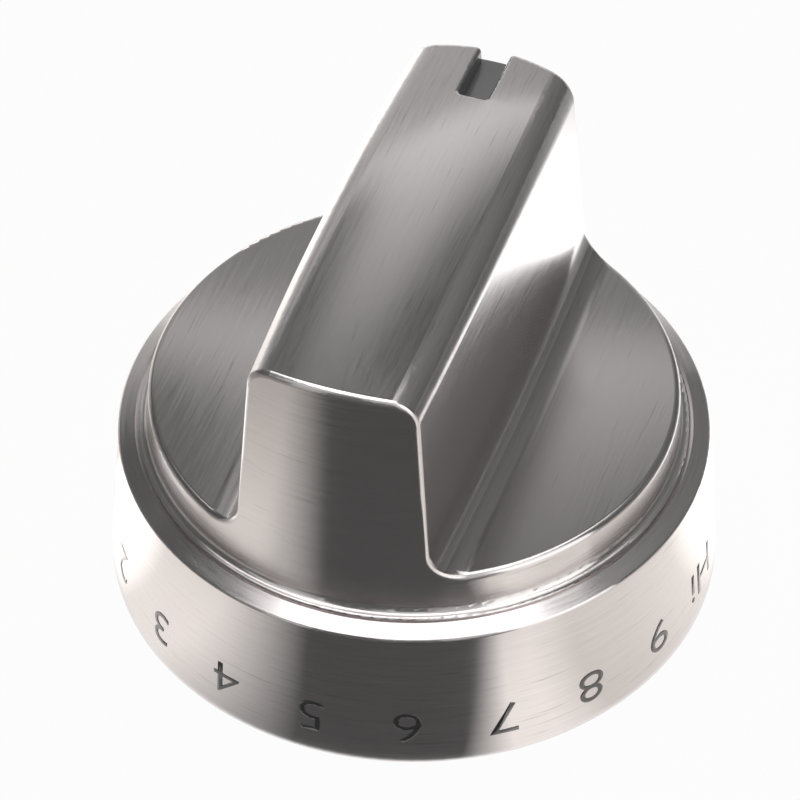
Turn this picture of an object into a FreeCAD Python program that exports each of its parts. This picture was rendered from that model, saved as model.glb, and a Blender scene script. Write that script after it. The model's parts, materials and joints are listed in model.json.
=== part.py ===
import FreeCAD
import Part
import math
import os

# Range burner knob: a brushed metal grip on a dial skirt, held together from the back by a screwed-on hub.
# Millimetres. The origin is the centre of the skirt's open rim, +Z points out of the knob's face, and the
# grip bar lies along Y with its pointer slot at +Y. The knob stands on its skirt.

# Dial skirt, from the rim up
SKIRT_HEIGHT = 15.15  # rim to the outer edge of the shoulder
SKIRT_FLARE = 1.0  # how much wider the wall is at the rim than at the shoulder
SKIRT_WALL = 1.6
SKIRT_INSIDE_ROUND = 0.8  # where the wall meets the flange
SKIRT_RIM_ROUND = 0.2
SHOULDER_WIDTH = 1.55
SHOULDER_RISE = 0.75
SHOULDER_ROUND = 0.3
SEAT_DEPTH = 0.5  # recess in the shoulder that takes the grip's lip
FLANGE_THICKNESS = 1.8
FLANGE_BORE_MARGIN = 0.8  # room round the hub's spigot

# Grip body, outside
BODY_RADIUS = 24.2  # round wall, where it meets the finger faces
BODY_DRAFT = 2.8  # degrees
FACE_HEIGHT = 20.0  # finger faces above the rim
LIP_GAP = 0.3  # visible groove between lip and shoulder
LIP_THICKNESS = 0.7
LIP_ROUND = 0.2
LIP_LAND = 0.03
COVE_RADIUS = 0.65
BAR_HEIGHT = 42.1  # highest point of the bar's arched top
BAR_BASE_WIDTH = 19.2  # across the bar at the finger faces, at mid length
BAR_DRAFT = 3.9  # degrees
BAR_BOW = 0.5  # how much each side comes in towards the ends
BAR_ARCH_RADIUS = 351.0
BAR_CROWN_RADIUS = 41.8
BAR_CORNER_ROUND = 2.8
BAR_FOOT_ROUND = 3.0
EDGE_ROUND = 0.6

# Pointer slot in the top of the bar's +Y end
POINTER_WIDTH = 2.9  # between its walls, before the edges are rounded
POINTER_LENGTH = 7.05
POINTER_DEPTH = 2.5  # floor below the highest point of the bar
POINTER_TAPER = 2.0  # degrees
POINTER_CORNER_ROUND = 0.5
POINTER_EDGE_ROUND = 0.42

# Grip body, cored back
GRIP_WALL = 2.2
TOP_WALL = 3.8
CORE_ROUND = 0.8
BOSS_RADIUS = 3.4
BOSS_INSET = 8.2  # boss centre in from the round wall, along the bar
RIB_THICKNESS = 2.0
PEG_RADIUS = 1.2
PEG_INSET = 5.7
PEG_CLEARANCE = 0.1
PEG_SHORT = 0.3  # peg ends this far inside the skirt's flange
PEG_LEAD = 0.3  # chamfer of a peg's tip

# Hub insert
HUB_MOUTH_HEIGHT = 4.0  # mouth above the skirt's rim
HUB_RADIUS = 6.2
COLLAR_STEP = 0.4  # the collar is slimmer than the hub by this much
COLLAR_LENGTH = 4.1
HUB_FLANGE_MARGIN = 4.0  # beyond the screws' centres
HUB_FLANGE_THICKNESS = 2.0
HUB_RIM_WIDTH = 1.2
HUB_RIM_DEPTH = 1.2
HUB_RIBS = 6
HUB_RIB_THICKNESS = 1.4
HUB_RIB_DEPTH = 3.4
HUB_EDGE_ROUND = 0.3  # edges of the flange's rim
COLLAR_LEAD = 0.3  # chamfer that the band is pushed over
SPIGOT_HEIGHT = 8.4
SPIGOT_SPACE = 3.6  # between the spigot's end and a boss
SPIGOT_CLEARANCE = 0.3
SPIGOT_LEAD = 0.6  # chamfer round the spigot's top
STEM_RADIUS = 3.0
STEM_CLEARANCE = 0.05
ENTRY_LENGTH = 3.5  # round mouth of the socket
ENTRY_SPARE = 0.05  # the round mouth is wider than the socket by this much all round
RELIEF_LENGTH = 0.8  # groove between the round mouth and the D-shaped part
RELIEF_DEPTH = 0.6
SOCKET_LENGTH = 15.5  # mouth to blind end
SOCKET_FLAT = 2.25  # flat's distance from the axis
SLIT_WIDTH = 1.2
SLIT_LENGTH = 8.0
MOUTH_CHAMFER = 0.4

# Leaf spring on the socket's flat
LEAF_THICKNESS = 0.4
LEAF_WIDTH = 3.4
LEAF_BOW = 0.45
LEAF_TAB = 1.2
LEAF_SPAN = 6.8  # bowed length
LEAF_HOOK = 1.0
LEAF_CLEARANCE = 0.1

# Steel band on the collar
FERRULE_THICKNESS = 0.6
FERRULE_LENGTH = 3.6
FERRULE_CLEARANCE = 0.05

# Screws that hold hub, skirt and grip together
SCREW_RADIUS = 1.5
SCREW_CLEARANCE = 0.05  # in the grip's boss, where the thread cuts in
SCREW_PASS = 0.2  # round the shank in skirt and hub
SCREW_LENGTH = 10.0
SCREW_HEAD_RADIUS = 2.8
SCREW_HEAD_HEIGHT = 1.9
SCREW_HOLE_SPARE = 1.0
DRIVE_WIDTH = 0.9
DRIVE_LENGTH = 3.2
DRIVE_DEPTH = 1.1

# Levels and radii that follow from the sizes above
BEYOND = 5.0  # how far a cutting tool runs past what it cuts
NEAR = 0.01  # how closely an edge is recognised by its place
EDGE_POINTS = 5  # points that are tested along an edge
Z_AXIS = FreeCAD.Vector(0, 0, 1)
BOSS_OFFSET = BODY_RADIUS - BOSS_INSET
PEG_OFFSET = BODY_RADIUS - PEG_INSET
HUB_FLANGE_RADIUS = BOSS_OFFSET + HUB_FLANGE_MARGIN
SPIGOT_LENGTH = 2 * (BOSS_OFFSET - BOSS_RADIUS - SPIGOT_SPACE)
BODY_SLOPE = math.tan(math.radians(BODY_DRAFT))
BAR_SLOPE = math.tan(math.radians(BAR_DRAFT))
SHOULDER_TOP = SKIRT_HEIGHT + SHOULDER_RISE
SEAT_LEVEL = SHOULDER_TOP - SEAT_DEPTH
FLANGE_BOTTOM = SEAT_LEVEL - FLANGE_THICKNESS
HUB_FLANGE_BOTTOM = FLANGE_BOTTOM - HUB_FLANGE_THICKNESS
LIP_TOP = SEAT_LEVEL + LIP_THICKNESS
CEILING = BAR_HEIGHT - TOP_WALL
FACE_UNDERSIDE = FACE_HEIGHT - GRIP_WALL
SPIGOT_TOP = FLANGE_BOTTOM + SPIGOT_HEIGHT
COLLAR_RADIUS = HUB_RADIUS - COLLAR_STEP
COLLAR_TOP = HUB_MOUTH_HEIGHT + COLLAR_LENGTH
SOCKET_RADIUS = STEM_RADIUS + STEM_CLEARANCE
SOCKET_TOP = HUB_MOUTH_HEIGHT + SOCKET_LENGTH


def body_radius(level):
    """Radius of the grip's drafted round wall at a height."""
    return BODY_RADIUS + (FACE_HEIGHT - level) * BODY_SLOPE


def cove_centre():
    """Centre of the cove that turns the round wall out into the lip."""
    draft = math.radians(BODY_DRAFT)
    touch_level = LIP_TOP + COVE_RADIUS * (1 - math.sin(draft))
    return body_radius(touch_level) + COVE_RADIUS * math.cos(draft), LIP_TOP + COVE_RADIUS


LIP_RADIUS = cove_centre()[0] + LIP_LAND + LIP_ROUND
SEAT_RADIUS = LIP_RADIUS + LIP_GAP
SKIRT_TOP_RADIUS = SEAT_RADIUS + SHOULDER_WIDTH
SKIRT_RIM_RADIUS = SKIRT_TOP_RADIUS + SKIRT_FLARE


def spigot_half_width():
    """Half width of the hub's spigot, which fits the bar's cored inside."""
    inside = BAR_BASE_WIDTH / 2 - GRIP_WALL / math.cos(math.radians(BAR_DRAFT))
    drawn_in = (SPIGOT_TOP - FACE_HEIGHT) * BAR_SLOPE
    return inside - drawn_in - bow_inset(SPIGOT_LENGTH / 2) - SPIGOT_CLEARANCE


def bow_radius():
    """Plan radius of the bar's sides, from their bow over the bar's length."""
    return (BODY_RADIUS**2 + BAR_BOW**2) / (2 * BAR_BOW)


def bow_inset(along):
    """How far a side of the bar has come in at a distance along the bar."""
    return bow_radius() - math.sqrt(bow_radius() ** 2 - along**2)


def flange_bore():
    """Radius of the hole in the skirt's flange that the hub's spigot passes."""
    return math.hypot(spigot_half_width(), SPIGOT_LENGTH / 2) + FLANGE_BORE_MARGIN


def at(radius, level):
    """A point of a profile in the XZ plane."""
    return FreeCAD.Vector(radius, 0, level)


def line(start, end):
    """Straight edge of a profile."""
    return Part.LineSegment(start, end).toShape()


def arc(start, centre, end):
    """Edge along the shorter arc from start to end about centre."""
    radius = (start - centre).Length
    middle = (start - centre) + (end - centre)
    middle.normalize()
    return Part.Arc(start, centre + middle * radius, end).toShape()


def face_of(edges):
    """Face inside a closed run of edges."""
    return Part.Face(Part.Wire(edges))


def polygon_face(points):
    """Face inside a closed polygon."""
    return Part.Face(Part.makePolygon(points + [points[0]]))


def spin(face):
    """Solid of revolution about the knob's axis."""
    return face.revolve(FreeCAD.Vector(0, 0, 0), Z_AXIS, 360)


def swing(face, centre, axis, half_angle):
    """Solid swept by a face that turns half_angle degrees each way about an axis."""
    start = face.copy()
    start.rotate(centre, axis, -half_angle)
    return start.revolve(centre, axis, 2 * half_angle)


def cylinder(radius, low, high, x=0.0, y=0.0):
    """Upright cylinder between two heights."""
    return Part.makeCylinder(radius, high - low, FreeCAD.Vector(x, y, low))


def cone(low_radius, high_radius, low, high):
    """Cone about the knob's axis between two heights."""
    return Part.makeCone(low_radius, high_radius, high - low, FreeCAD.Vector(0, 0, low))


def block(x_low, x_high, y_low, y_high, z_low, z_high):
    """Box between its limits."""
    corner = FreeCAD.Vector(x_low, y_low, z_low)
    return Part.makeBox(x_high - x_low, y_high - y_low, z_high - z_low, corner)


def on_both_ends(shape):
    """The shape and its copy turned half a turn about the knob's axis."""
    other = shape.copy()
    other.rotate(FreeCAD.Vector(0, 0, 0), Z_AXIS, 180)
    return [shape, other]


def finger_pocket(half_width, floor, foot_round):
    """Space beside the bar at +X: a bowed, drafted wall, a foot round and a flat floor."""
    draft = math.radians(BAR_DRAFT)
    touch_level = floor + foot_round * (1 - math.sin(draft))
    touch_x = half_width + (FACE_HEIGHT - touch_level) * BAR_SLOPE
    centre = at(touch_x + foot_round * math.cos(draft), floor + foot_round)
    ceiling = BAR_HEIGHT + BEYOND
    outside = BODY_RADIUS + 2 * BEYOND
    top = at(half_width - (ceiling - FACE_HEIGHT) * BAR_SLOPE, ceiling)
    touch = at(touch_x, touch_level)
    foot = at(centre.x, floor)
    far_low = at(outside, floor)
    far_high = at(outside, ceiling)
    profile = face_of([
        line(top, touch),
        arc(touch, centre, foot),
        line(foot, far_low),
        line(far_low, far_high),
        line(far_high, top),
    ])
    hinge = at(half_width - bow_radius(), 0)
    half_angle = math.degrees(math.asin((BODY_RADIUS + BEYOND) / bow_radius()))
    return swing(profile, hinge, Z_AXIS, half_angle)


def above_bar_top():
    """Space above the bar's top, which is crowned across and arched along."""
    half_span = BAR_BASE_WIDTH
    drop = BAR_CROWN_RADIUS - math.sqrt(BAR_CROWN_RADIUS**2 - half_span**2)
    left = at(-half_span, BAR_HEIGHT - drop)
    right = at(half_span, BAR_HEIGHT - drop)
    high_right = at(half_span, BAR_HEIGHT + BEYOND)
    high_left = at(-half_span, BAR_HEIGHT + BEYOND)
    crown = Part.Arc(left, at(0, BAR_HEIGHT), right).toShape()
    profile = face_of([crown, line(right, high_right), line(high_right, high_left), line(high_left, left)])
    hinge = at(0, BAR_HEIGHT - BAR_ARCH_RADIUS)
    half_angle = math.degrees(math.asin((BODY_RADIUS + BEYOND) / BAR_ARCH_RADIUS))
    return swing(profile, hinge, FreeCAD.Vector(1, 0, 0), half_angle)


def round_body():
    """Lip, cove and drafted round wall, solid up to above the bar."""
    centre_x, centre_z = cove_centre()
    draft = math.radians(BODY_DRAFT)
    touch = at(centre_x - COVE_RADIUS * math.cos(draft), centre_z - COVE_RADIUS * math.sin(draft))
    foot = at(centre_x, LIP_TOP)
    top_level = BAR_HEIGHT + BEYOND / 2
    lip_low = at(LIP_RADIUS, SEAT_LEVEL)
    lip_high = at(LIP_RADIUS, LIP_TOP - LIP_ROUND)
    land = at(LIP_RADIUS - LIP_ROUND, LIP_TOP)
    top = at(body_radius(top_level), top_level)
    axis_low = at(0, SEAT_LEVEL)
    axis_high = at(0, top_level)
    return spin(face_of([
        line(axis_low, lip_low),
        line(lip_low, lip_high),
        arc(lip_high, at(LIP_RADIUS - LIP_ROUND, LIP_TOP - LIP_ROUND), land),
        line(land, foot),
        arc(foot, at(centre_x, centre_z), touch),
        line(touch, top),
        line(top, axis_high),
        line(axis_high, axis_low),
    ]))


def bar_corner_edges(shape):
    """The two long edges of the bar's top."""
    chosen = []
    for edge in shape.Edges:
        middle = edge.valueAt((edge.FirstParameter + edge.LastParameter) / 2)
        runs_along = abs(middle.y) < NEAR and edge.Length > BODY_RADIUS
        if runs_along and middle.z > FACE_HEIGHT + BAR_FOOT_ROUND:
            chosen.append(edge)
    return chosen


def outline_edges(shape):
    """The closed run of edges where the round wall ends: rim, bar ends and bar corners."""
    chosen = []
    for edge in shape.Edges:
        points = edge.discretize(EDGE_POINTS)
        on_wall = all(abs(math.hypot(p.x, p.y) - body_radius(p.z)) < NEAR for p in points)
        if on_wall and min(p.z for p in points) > FACE_HEIGHT - NEAR:
            chosen.append(edge)
    return chosen


def pointer_slot():
    """Tapered slot, open at the bar's +Y end, with round inner corners."""
    floor = BAR_HEIGHT - POINTER_DEPTH
    high = BAR_HEIGHT + BEYOND
    start = body_radius(BAR_HEIGHT) - POINTER_LENGTH
    taper = math.tan(math.radians(POINTER_TAPER))

    def outline(level):
        grow = (level - BAR_HEIGHT) * taper
        half = POINTER_WIDTH / 2 + grow
        back = start - grow
        turn = POINTER_CORNER_ROUND
        end = BODY_RADIUS + BEYOND
        left_start = FreeCAD.Vector(-half, back + turn, level)
        left_turn = FreeCAD.Vector(-half + turn, back, level)
        right_turn = FreeCAD.Vector(half - turn, back, level)
        right_start = FreeCAD.Vector(half, back + turn, level)
        right_end = FreeCAD.Vector(half, end, level)
        left_end = FreeCAD.Vector(-half, end, level)
        return Part.Wire([
            arc(left_start, FreeCAD.Vector(-half + turn, back + turn, level), left_turn),
            line(left_turn, right_turn),
            arc(right_turn, FreeCAD.Vector(half - turn, back + turn, level), right_start),
            line(right_start, right_end),
            line(right_end, left_end),
            line(left_end, left_start),
        ])

    return Part.makeLoft([outline(floor), outline(high)], True)


def pointer_mouth_edges(shape):
    """The run of edges round the top of the pointer slot, over the bar's end edge on both sides."""
    spare = 0.1
    half = POINTER_WIDTH / 2 + spare
    start = body_radius(BAR_HEIGHT) - POINTER_LENGTH - spare
    lowest = BAR_HEIGHT - POINTER_DEPTH + POINTER_DEPTH / 3
    chosen = []
    for edge in shape.Edges:
        points = edge.discretize(EDGE_POINTS)
        if all(abs(p.x) < half and p.y > start and p.z > lowest for p in points):
            chosen.append(edge)
    return chosen


def bar_core():
    """The hollow behind the grip: under the faces and up inside the bar, round the bosses and ribs."""
    wall_at_draft = GRIP_WALL / math.cos(math.radians(BODY_DRAFT))
    low = SEAT_LEVEL - BEYOND
    core = spin(polygon_face([
        at(0, low),
        at(body_radius(SEAT_LEVEL) - wall_at_draft, low),
        at(body_radius(SEAT_LEVEL) - wall_at_draft, SEAT_LEVEL),
        at(body_radius(CEILING) - wall_at_draft, CEILING),
        at(0, CEILING),
    ]))
    half_width = BAR_BASE_WIDTH / 2 - GRIP_WALL / math.cos(math.radians(BAR_DRAFT))
    for pocket in on_both_ends(finger_pocket(half_width, FACE_UNDERSIDE, CORE_ROUND)):
        core = core.cut(pocket)
    high = CEILING + BEYOND
    for end in (-1, 1):
        core = core.cut(cylinder(BOSS_RADIUS, SEAT_LEVEL, high, y=end * BOSS_OFFSET))
        half = RIB_THICKNESS / 2
        centre = end * BOSS_OFFSET
        core = core.cut(block(-BODY_RADIUS, BODY_RADIUS, centre - half, centre + half, SPIGOT_TOP, high))
        ends = sorted((centre, end * (BODY_RADIUS + BEYOND)))
        core = core.cut(block(-half, half, ends[0], ends[1], FACE_UNDERSIDE, high))
    return core


def make_grip_body():
    """Die-cast grip: bar, finger faces, round wall, cove and lip, cored from the back."""
    body = round_body()
    for pocket in on_both_ends(finger_pocket(BAR_BASE_WIDTH / 2, FACE_HEIGHT, BAR_FOOT_ROUND)):
        body = body.cut(pocket)
    body = body.cut(above_bar_top())
    body = body.makeFillet(BAR_CORNER_ROUND, bar_corner_edges(body))
    body = body.makeFillet(EDGE_ROUND, outline_edges(body))
    body = body.cut(pointer_slot())
    body = body.makeFillet(POINTER_EDGE_ROUND, pointer_mouth_edges(body))
    body = body.cut(bar_core())
    for end in (-1, 1):
        hole_top = SEAT_LEVEL + screw_reach() + SCREW_HOLE_SPARE
        hole = cylinder(SCREW_RADIUS + SCREW_CLEARANCE, SEAT_LEVEL - BEYOND, hole_top, y=end * BOSS_OFFSET)
        body = body.cut(hole)
        body = body.fuse(locating_peg(end))
    return body.removeSplitter()


def locating_peg(end):
    """Peg under a finger face that keeps the skirt from turning, with a chamfered tip."""
    tip = FLANGE_BOTTOM + PEG_SHORT
    peg = cylinder(PEG_RADIUS, tip + PEG_LEAD, FACE_HEIGHT - GRIP_WALL / 2)
    peg = peg.fuse(cone(PEG_RADIUS - PEG_LEAD, PEG_RADIUS, tip, tip + PEG_LEAD))
    peg.translate(at(end * PEG_OFFSET, 0))
    return peg


def screw_reach():
    """How far a screw goes into the grip's boss."""
    return SCREW_LENGTH - HUB_FLANGE_THICKNESS - FLANGE_THICKNESS


def screw_passage(low, high, end):
    """Clearance hole for the screw at one end of the bar, through a flange between two heights."""
    return cylinder(SCREW_RADIUS + SCREW_PASS, low - BEYOND, high + BEYOND, y=end * BOSS_OFFSET)


def make_skirt_ring():
    """Dial skirt: flared wall, sloped shoulder, recess for the lip and inner flange."""
    inside_top = SKIRT_TOP_RADIUS - SKIRT_WALL + SKIRT_FLARE * (SKIRT_HEIGHT - FLANGE_BOTTOM) / SKIRT_HEIGHT
    inside_rim = SKIRT_RIM_RADIUS - SKIRT_WALL
    ring = spin(polygon_face([
        at(SKIRT_RIM_RADIUS, 0),
        at(SKIRT_TOP_RADIUS, SKIRT_HEIGHT),
        at(SEAT_RADIUS, SHOULDER_TOP),
        at(SEAT_RADIUS, SEAT_LEVEL),
        at(flange_bore(), SEAT_LEVEL),
        at(flange_bore(), FLANGE_BOTTOM),
        at(inside_top, FLANGE_BOTTOM),
        at(inside_rim, 0),
    ]))
    for end in (-1, 1):
        ring = ring.cut(screw_passage(FLANGE_BOTTOM, SEAT_LEVEL, end))
        peg_low = FLANGE_BOTTOM - BEYOND
        peg_high = SEAT_LEVEL + BEYOND
        ring = ring.cut(cylinder(PEG_RADIUS + PEG_CLEARANCE, peg_low, peg_high, x=end * PEG_OFFSET))
    ring = ring.makeFillet(SHOULDER_ROUND, circle_edges(ring, SKIRT_TOP_RADIUS, SKIRT_HEIGHT))
    ring = ring.makeFillet(SKIRT_INSIDE_ROUND, circle_edges(ring, inside_top, FLANGE_BOTTOM))
    return ring.makeFillet(SKIRT_RIM_ROUND, circle_edges(ring, SKIRT_RIM_RADIUS, 0))


def circle_edges(shape, radius, level):
    """Round edges of a shape about the knob's axis at one radius and height."""
    chosen = []
    for edge in shape.Edges:
        points = edge.discretize(EDGE_POINTS)
        if all(abs(math.hypot(p.x, p.y) - radius) < NEAR and abs(p.z - level) < NEAR for p in points):
            chosen.append(edge)
    return chosen


def make_hub_insert():
    """Moulded hub: flange with rim and ribs, split collar, spigot and D socket."""
    hub = cylinder(HUB_RADIUS, COLLAR_TOP, FLANGE_BOTTOM)
    lead_top = HUB_MOUTH_HEIGHT + COLLAR_LEAD
    hub = hub.fuse(cylinder(COLLAR_RADIUS, lead_top, COLLAR_TOP))
    hub = hub.fuse(cone(COLLAR_RADIUS - COLLAR_LEAD, COLLAR_RADIUS, HUB_MOUTH_HEIGHT, lead_top))
    hub = hub.fuse(hub_flange())
    for number in range(HUB_RIBS):
        hub = hub.fuse(hub_rib(360 * number / HUB_RIBS))
    hub = hub.fuse(hub_spigot())
    hub = hub.cut(stem_socket())
    slit_top = HUB_MOUTH_HEIGHT + SLIT_LENGTH
    slit_half = SLIT_WIDTH / 2
    hub = hub.cut(block(-HUB_RADIUS, HUB_RADIUS, -slit_half, slit_half, 0, slit_top))
    for end in (-1, 1):
        hub = hub.cut(screw_passage(HUB_FLANGE_BOTTOM, FLANGE_BOTTOM, end))
    return hub.removeSplitter()


def hub_flange():
    """Round flange of the hub with a raised rim, its edges rounded."""
    rim_inside = HUB_FLANGE_RADIUS - HUB_RIM_WIDTH
    rim_low = HUB_FLANGE_BOTTOM - HUB_RIM_DEPTH
    flange = cylinder(HUB_FLANGE_RADIUS, rim_low, FLANGE_BOTTOM)
    flange = flange.cut(cylinder(rim_inside, rim_low - BEYOND, HUB_FLANGE_BOTTOM))
    edges = circle_edges(flange, HUB_FLANGE_RADIUS, rim_low) + circle_edges(flange, rim_inside, rim_low)
    return flange.makeFillet(HUB_EDGE_ROUND, edges)


def hub_spigot():
    """Block that fills the bar's foot, with a chamfer round its top."""
    half = spigot_half_width()
    long_half = SPIGOT_LENGTH / 2
    spigot = block(-half, half, -long_half, long_half, FLANGE_BOTTOM, SPIGOT_TOP)
    top_edges = [edge for edge in spigot.Edges if edge.BoundBox.ZMin > SPIGOT_TOP - NEAR]
    return spigot.makeChamfer(SPIGOT_LEAD, top_edges)


def hub_rib(angle):
    """One rib under the hub's flange, tapering from the hub out to the rim."""
    outer = HUB_FLANGE_RADIUS - HUB_RIM_WIDTH / 2
    inner = HUB_RADIUS / 2 + SOCKET_RADIUS / 2
    profile = polygon_face([
        at(inner, HUB_FLANGE_BOTTOM),
        at(outer, HUB_FLANGE_BOTTOM),
        at(outer, HUB_FLANGE_BOTTOM - HUB_RIM_DEPTH),
        at(HUB_RADIUS, HUB_FLANGE_BOTTOM - HUB_RIB_DEPTH),
        at(inner, HUB_FLANGE_BOTTOM - HUB_RIB_DEPTH),
    ])
    profile.translate(FreeCAD.Vector(0, -HUB_RIB_THICKNESS / 2, 0))
    rib = profile.extrude(FreeCAD.Vector(0, HUB_RIB_THICKNESS, 0))
    rib.rotate(FreeCAD.Vector(0, 0, 0), Z_AXIS, angle)
    return rib


def stem_socket():
    """Hollow for the valve stem: chamfered round mouth, relief groove, D-shaped part and hook pocket."""
    mouth = HUB_MOUTH_HEIGHT
    entry_radius = SOCKET_RADIUS + ENTRY_SPARE
    chamfer = cone(entry_radius + MOUTH_CHAMFER, entry_radius, mouth, mouth + MOUTH_CHAMFER)
    entry_top = mouth + ENTRY_LENGTH
    entry = cylinder(entry_radius, mouth, entry_top)
    relief = cylinder(SOCKET_RADIUS + RELIEF_DEPTH, entry_top, entry_top + RELIEF_LENGTH)
    flat_part = cylinder(SOCKET_RADIUS, entry_top, SOCKET_TOP)
    beyond = SOCKET_RADIUS + BEYOND
    behind_flat = block(-beyond, beyond, SOCKET_FLAT, beyond, entry_top, SOCKET_TOP + BEYOND)
    hook_half = LEAF_WIDTH / 2 + LEAF_CLEARANCE
    hook_low, hook_high = leaf_hook_levels()
    pocket = block(
        -hook_half,
        hook_half,
        SOCKET_FLAT - LEAF_THICKNESS,
        SOCKET_FLAT + LEAF_HOOK + LEAF_CLEARANCE,
        hook_low - LEAF_CLEARANCE,
        hook_high + LEAF_CLEARANCE,
    )
    return chamfer.fuse([entry, relief, flat_part.cut(behind_flat), pocket])


def leaf_hook_levels():
    """Heights of the lower and upper side of the leaf's hook."""
    low = leaf_foot() + 2 * LEAF_TAB + LEAF_SPAN
    return low, low + LEAF_THICKNESS


def leaf_foot():
    """Height of the leaf's lower end, where the socket's flat begins."""
    return HUB_MOUTH_HEIGHT + ENTRY_LENGTH + RELIEF_LENGTH


def make_shaft_spring():
    """Leaf spring: two tabs flat on the socket's flat, a bow between them and a hook at the top."""
    foot = leaf_foot()
    bow_low = foot + LEAF_TAB
    bow_high = bow_low + LEAF_SPAN
    bow_middle = (bow_low + bow_high) / 2
    hook_low, hook_high = leaf_hook_levels()
    back = SOCKET_FLAT
    front = SOCKET_FLAT - LEAF_THICKNESS

    def point(y, z):
        return FreeCAD.Vector(-LEAF_WIDTH / 2, y, z)

    bowed_back = Part.Arc(
        point(back, bow_low), point(back - LEAF_BOW, bow_middle), point(back, bow_high)
    ).toShape()
    bowed_front = Part.Arc(
        point(front, bow_high), point(front - LEAF_BOW, bow_middle), point(front, bow_low)
    ).toShape()
    outline = face_of([
        line(point(back, foot), point(back, bow_low)),
        bowed_back,
        line(point(back, bow_high), point(back, hook_low)),
        line(point(back, hook_low), point(back + LEAF_HOOK, hook_low)),
        line(point(back + LEAF_HOOK, hook_low), point(back + LEAF_HOOK, hook_high)),
        line(point(back + LEAF_HOOK, hook_high), point(front, hook_high)),
        line(point(front, hook_high), point(front, bow_high)),
        bowed_front,
        line(point(front, bow_low), point(front, foot)),
        line(point(front, foot), point(back, foot)),
    ])
    return outline.extrude(FreeCAD.Vector(LEAF_WIDTH, 0, 0))


def make_hub_ferrule():
    """Steel band round the split collar, pushed up against the hub's step."""
    inside = COLLAR_RADIUS + FERRULE_CLEARANCE
    low = COLLAR_TOP - FERRULE_LENGTH
    band = cylinder(inside + FERRULE_THICKNESS, low, COLLAR_TOP)
    return band.cut(cylinder(inside, low - BEYOND, COLLAR_TOP + BEYOND))


def make_insert_screw(y):
    """Pan-head screw, head down, with a cross drive."""
    head_top = HUB_FLANGE_BOTTOM
    head_low = head_top - SCREW_HEAD_HEIGHT
    head = cylinder(SCREW_HEAD_RADIUS, head_low, head_top)
    head = head.makeFillet(SCREW_HEAD_HEIGHT / 2, circle_edges(head, SCREW_HEAD_RADIUS, head_low))
    tip = SCREW_RADIUS
    shank = cylinder(SCREW_RADIUS, head_top, head_top + SCREW_LENGTH - tip)
    point = cone(SCREW_RADIUS, SCREW_RADIUS / 3, head_top + SCREW_LENGTH - tip, head_top + SCREW_LENGTH)
    screw = head.fuse([shank, point])
    for length, width in ((DRIVE_LENGTH, DRIVE_WIDTH), (DRIVE_WIDTH, DRIVE_LENGTH)):
        drive_low = head_low - BEYOND
        drive_high = head_low + DRIVE_DEPTH
        slot = block(-length / 2, length / 2, -width / 2, width / 2, drive_low, drive_high)
        screw = screw.cut(slot)
    screw.translate(FreeCAD.Vector(0, y, 0))
    return screw.removeSplitter()


def main():
    """Builds each piece, checks that it is one closed solid, and writes it."""
    pieces = {
        "grip_body": make_grip_body(),
        "skirt_ring": make_skirt_ring(),
        "hub_insert": make_hub_insert(),
        "shaft_spring": make_shaft_spring(),
        "hub_ferrule": make_hub_ferrule(),
        "insert_screw_1": make_insert_screw(-BOSS_OFFSET),
        "insert_screw_2": make_insert_screw(BOSS_OFFSET),
    }
    os.makedirs("parts", exist_ok=True)
    for name, shape in pieces.items():
        if not shape.isValid() or len(shape.Solids) != 1:
            raise ValueError(f"{name} is not one valid solid")
        shape.Solids[0].exportStep(f"parts/{name}.step")
        print(name, round(shape.Volume, 1), "mm3")


main()
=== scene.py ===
import json
import logging
import math
from dataclasses import dataclass
from enum import Enum
from typing import Callable

import bpy
from mathutils import Matrix, Vector

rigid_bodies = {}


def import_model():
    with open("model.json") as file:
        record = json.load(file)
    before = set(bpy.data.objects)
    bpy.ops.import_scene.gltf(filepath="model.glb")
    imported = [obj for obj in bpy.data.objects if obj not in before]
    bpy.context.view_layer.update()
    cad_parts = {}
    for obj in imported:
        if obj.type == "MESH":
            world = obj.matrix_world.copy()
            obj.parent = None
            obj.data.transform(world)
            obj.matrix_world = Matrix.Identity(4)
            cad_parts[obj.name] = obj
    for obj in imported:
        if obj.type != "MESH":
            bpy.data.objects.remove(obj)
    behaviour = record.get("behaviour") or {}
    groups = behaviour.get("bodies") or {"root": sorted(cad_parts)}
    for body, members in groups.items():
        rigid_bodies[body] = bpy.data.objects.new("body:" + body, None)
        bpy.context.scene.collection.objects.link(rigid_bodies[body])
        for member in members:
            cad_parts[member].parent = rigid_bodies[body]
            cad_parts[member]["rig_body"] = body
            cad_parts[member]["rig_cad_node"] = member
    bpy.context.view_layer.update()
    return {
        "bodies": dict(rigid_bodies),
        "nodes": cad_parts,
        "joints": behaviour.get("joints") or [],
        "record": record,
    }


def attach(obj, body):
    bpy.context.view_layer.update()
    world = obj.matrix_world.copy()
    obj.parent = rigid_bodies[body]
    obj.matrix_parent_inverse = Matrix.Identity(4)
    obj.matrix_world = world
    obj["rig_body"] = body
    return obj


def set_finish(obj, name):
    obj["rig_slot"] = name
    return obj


# Looks of a range burner knob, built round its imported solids. Lengths in the dataclasses are millimetres
# and MM turns them into the scene's metres. The grip bar lies along Y, its pointer slot is at +Y.

MM = 0.001
WHITE = (1.0, 1.0, 1.0, 1.0)
# Mesh corners closer than this many millimetres are one corner.
WELD = 0.002
# A noise texture stays mostly between these two values.
NOISE_LOW, NOISE_HIGH = 0.3, 0.7

Tree = bpy.types.NodeTree
Node = bpy.types.Node
Socket = bpy.types.NodeSocket
Value = float | bpy.types.Node | bpy.types.NodeSocket
Stops = tuple[tuple[float, float], ...]

log = logging.getLogger("knob")


# Materials

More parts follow.
